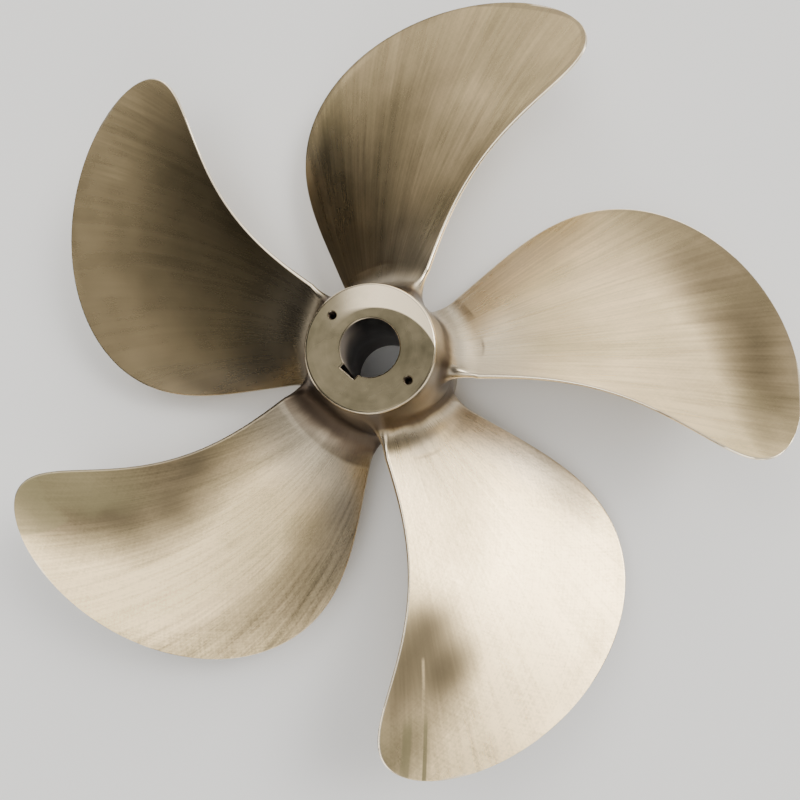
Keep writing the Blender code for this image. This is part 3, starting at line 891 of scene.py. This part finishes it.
def makeTurnedBronze():
    material, board, shader = newFinish("turnedBronze", 0.25, 0.0)
    spot = board.out("ShaderNodeTexCoord", None, "Object")
    x, y, z = board.split(spot)
    radius = board.sqrt(x * x + y * y)
    rings = board.noise(board.combine(radius / turned["ringWidth"], 0.0, 0.0), 1.0, 2.0)
    wide = board.noise(board.combine(radius / turned["wideRing"], 0.0, 0.0), 1.0, 2.0)
    cloud = board.noise(spot, turned["cloudScale"], 3.0)
    fineCloud = board.noise(spot, turned["fineCloudScale"], 2.0)
    # a pale crescent on the aft face, a painted reflection
    u = x - turned["crescentMiddle"][0]
    v = y - turned["crescentMiddle"][1]
    out = board.sqrt(u * u + v * v) - turned["crescentRadius"]
    softness = turned["sharpBorder"] + board.rise(0.0 - x, turned["softSide"]) * turned["softBorder"]
    reflectedCrescent = board.clamp(out / softness + 0.5 + (cloud - 0.5) * 0.4)
    leftward = x * turned["fadeWay"][0] + y * turned["fadeWay"][1] + (cloud - 0.5) * 0.03
    reflectedCrescent = reflectedCrescent * board.rise(z, turned["crescentHeight"]) * board.fall(leftward, turned["fade"])
    edging = board.fall(z, [propeller["hubLength"] - depth for depth in turned["rimDepths"]])
    tone = (cloud - 0.5) * 1.8 + (fineCloud - 0.5) * 0.7 + (rings - 0.5) * 0.4 + (wide - 0.5) * 0.5
    dull = board.blend(board.clamp(0.5 + tone), bronze["duskyGreen"], bronze["greyGreen"])
    colour = board.blend(board.clamp(reflectedCrescent * 0.95 + edging), dull, bronze["cream"])
    rough = board.clamp(0.27 + (cloud - 0.5) * 0.2 - reflectedCrescent * 0.04, 0.12, 0.6)
    feed(board, shader, colour, rough, bump(board, rings + wide * 0.5, 0.00004, 0.7))
    return material


bored = dict(
    ringWidth=0.0009, cloudScale=35.0,
    boreLitWay=(-0.959, 0.284),  # the side of the bore that is painted pale near the aft face, a painted light on its wall
    boreLitSide=(0.35, 1.0), boreLitHeight=(0.09, 0.17),
    boreLitDepth=(0.0004, 0.0010),  # out of the bore's wall, so that the keyway stays dark
    patches=(0.5, 0.8),
)


def makeBoreBronze():
    material, board, shader = newFinish("boreBronze", 0.4, 0.0)
    spot = board.out("ShaderNodeTexCoord", None, "Object")
    x, y, z = board.split(spot)
    rings = board.noise(board.combine(0.0, 0.0, z / bored["ringWidth"]), 1.0, 2.0)
    cloud = board.noise(spot, bored["cloudScale"], 4.0)
    wayX, wayY = bored["boreLitWay"]
    leftward = (x * wayX + y * wayY) / hubCore["boreAftRadius"] + (cloud - 0.5) * 0.5
    outOfBore = board.sqrt(x * x + y * y) + z * (hubCore["boreTaper"] / 2)
    outOfBore = outOfBore - hubCore["boreAftRadius"] - propeller["hubLength"] * hubCore["boreTaper"] / 2
    # painted light: one wall painted pale grey and less metallic, as if lit from above
    paintedBoreLight = board.rise(leftward, bored["boreLitSide"]) * board.rise(z, bored["boreLitHeight"])
    paintedBoreLight = paintedBoreLight * board.fall(outOfBore, bored["boreLitDepth"])
    board.tree.links.new((1 - paintedBoreLight * 0.85).socket, shader.inputs["Metallic"])
    grey = paintedBoreLight * 0.9 + board.rise(cloud, bored["patches"]) * 0.1
    # the bore, keyway, drilled holes and threads are painted nearly black brown, a painted shade in these
    # recesses
    colour = board.blend(grey, bronze["boreShadeBrown"], bronze["boreGrey"])
    rough = board.clamp(0.38 + (cloud - 0.5) * 0.3, 0.2, 0.7)
    feed(board, shader, colour, rough, bump(board, rings, 0.00005, 0.7))
    return material


groundBronze = makeGroundBronze()
turnedBronze = makeTurnedBronze()
boreBronze = makeBoreBronze()

castingMesh = castingTree(groundBronze)
castingMesh.materials.append(turnedBronze)
castingMesh.materials.append(boreBronze)
addMachinedMiddle(castingMesh, 1, 2)
casting = addPiece("propellerCasting", castingMesh)
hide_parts("propeller_casting")
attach(casting, "root")
print("casting:", len(castingMesh.polygons), "faces")


# The threads of the two drilled holes

thread = dict(
    holes=2, circle=hubCore["holeCircle"], azimuth=hubCore["holeAzimuth"],
    top=propeller["hubLength"] - 0.0012,
    pitch=0.0015, turns=15, turnSteps=24,
    rootRadius=0.00505, depth=0.00075, halfWidth=0.00072,
    runOut=0.6,  # turns over which it fades at each end
    weld=0.000002,
)


def threadTree(material):
    board, size = geometryTree("holeThreads", thread)
    grid, out, around = gridOf(board, size.turns * size.turnSteps, 4)
    turn = out * size.turns
    corner = board.maths("MODULO", board.maths("ROUND", around * 4), 4.0) - 1.5
    ends = board.maths("MINIMUM", turn, size.turns - turn)
    full = board.clamp(ends / size.runOut)
    crest = board.maths("LESS_THAN", board.maths("ABSOLUTE", corner), 1.0)
    radius = size.rootRadius - size.depth * crest * full
    height = size.top - size.pitch * turn + corner * size.halfWidth * full / 1.5
    angle = turn * -math.tau
    coil = board.placed(grid, board.polar(radius, angle, height))
    coil = board.out("GeometryNodeMergeByDistance", {"Geometry": coil, "Distance": size.weld})
    way = size.azimuth + board.out("GeometryNodeInputIndex") / size.holes * math.tau
    centres = board.out("GeometryNodeMeshLine", {"Count": size.holes, "Offset": (0, 0, 0)})
    centres = board.placed(centres, board.polar(size.circle, way, 0.0))
    coils = board.out("GeometryNodeInstanceOnPoints", {"Points": centres, "Instance": coil})
    return meshFromTree("holeThreads", board, finishTree(board, coils, material), thread)


threadMesh = threadTree(boreBronze)
coils = bmesh.new()
coils.from_mesh(threadMesh)
faceOutward(coils, "holeThreads")
coils.to_mesh(threadMesh)
coils.free()
holeThreads = addPiece("holeThreads", threadMesh)
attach(holeThreads, "root")
print("threads:", len(threadMesh.polygons), "faces")

# Floor, light and camera

ground = dict(half=30, colour=(0.88, 0.88, 0.87, 1), roughness=0.8)


def makeFloor():
    half = ground["half"]
    mesh = bpy.data.meshes.new("floor")
    corners = [(-half, -half, 0), (half, -half, 0), (half, half, 0), (-half, half, 0)]
    mesh.from_pydata(corners, [], [(0, 1, 2, 3)])
    pale = bpy.data.materials.new("paleFloor")
    pale.use_nodes = True
    pale.node_tree.nodes["Principled BSDF"].inputs["Base Color"].default_value = ground["colour"]
    pale.node_tree.nodes["Principled BSDF"].inputs["Roughness"].default_value = ground["roughness"]
    mesh.materials.append(pale)
    return addPiece("floor", mesh)


floor = makeFloor()

# Soft lamps far off in the studio: azimuth and elevation in degrees, strength, and how tightly each
# is gathered
lamps = [
    dict(azimuth=7, elevation=45, strength=14.4, tightness=42),
    dict(azimuth=55, elevation=19, strength=3.6, tightness=10),
    dict(azimuth=114, elevation=60, strength=3.8, tightness=30),
    dict(azimuth=-126, elevation=76, strength=5.0, tightness=23),
    dict(azimuth=-87, elevation=34, strength=2.5, tightness=17),
]
haze = dict(strength=0.4, height=0.16, least=0.045)  # a pale band all round the horizon
studio = dict(lamp=(1, 0.985, 0.96, 1), backdrop=(0.78, 0.78, 0.77, 1))


def makeStudio():
    world = bpy.data.worlds.new("studio")
    bpy.context.scene.world = world
    world.use_nodes = True
    board = Board(world.node_tree)
    board.tree.nodes.clear()
    toward = board.out("ShaderNodeTexCoord", None, "Generated")
    glow = board.bell(board.split(toward)[2] / haze["height"]) * haze["strength"] + haze["least"]
    for lamp in lamps:
        aim = Vector((1, 0, 0))
        aim.rotate(Euler((0, -math.radians(lamp["elevation"]), math.radians(lamp["azimuth"]))))
        facing = board.out("ShaderNodeVectorMath", {0: toward, 1: aim}, "Value", operation="DOT_PRODUCT")
        glow = board.maths("EXPONENT", (facing - 1) * lamp["tightness"]) * lamp["strength"] + glow
    light = board.out("ShaderNodeBackground", {"Color": studio["lamp"], "Strength": glow})
    backdrop = board.out("ShaderNodeBackground", {"Color": studio["backdrop"], "Strength": 1.0})
    seen = board.out("ShaderNodeLightPath", None, "Is Camera Ray")
    shown = board.out("ShaderNodeMixShader", {0: seen, 1: light, 2: backdrop})
    board.add("ShaderNodeOutputWorld", {"Surface": shown})


makeStudio()

view = dict(
    sensorWidth=36.0,
    focalPixels=846.0, shiftPixels=1.5, imagePixels=800.0,
    tilt=(-0.148, -0.123, 0.0),  # the axis that the camera is turned about, as long as the turn in radians
    hubAside=(-0.034, 0.062),
    distance=0.994,
    bladeTurn=0.288,
)


def addCamera():
    lens = bpy.data.cameras.new("camera")
    lens.sensor_width = view["sensorWidth"]
    lens.lens = view["focalPixels"] / view["imagePixels"] * lens.sensor_width
    lens.shift_x = view["shiftPixels"] / view["imagePixels"]
    tilt = Vector(view["tilt"])
    turned = Matrix.Rotation(tilt.length, 3, tilt.normalized()).transposed()
    turned = Matrix.Rotation(-view["bladeTurn"], 3, "Z") @ turned
    aside = Vector((*view["hubAside"], 0))
    seat = turned @ (Vector((0, 0, view["distance"])) - aside)
    camera = bpy.data.objects.new("camera", lens)
    camera.matrix_world = Matrix.Translation(seat + Vector((0, 0, propeller["hubLength"]))) @ turned.to_4x4()
    bpy.context.scene.collection.objects.link(camera)
    bpy.context.scene.camera = camera


addCamera()
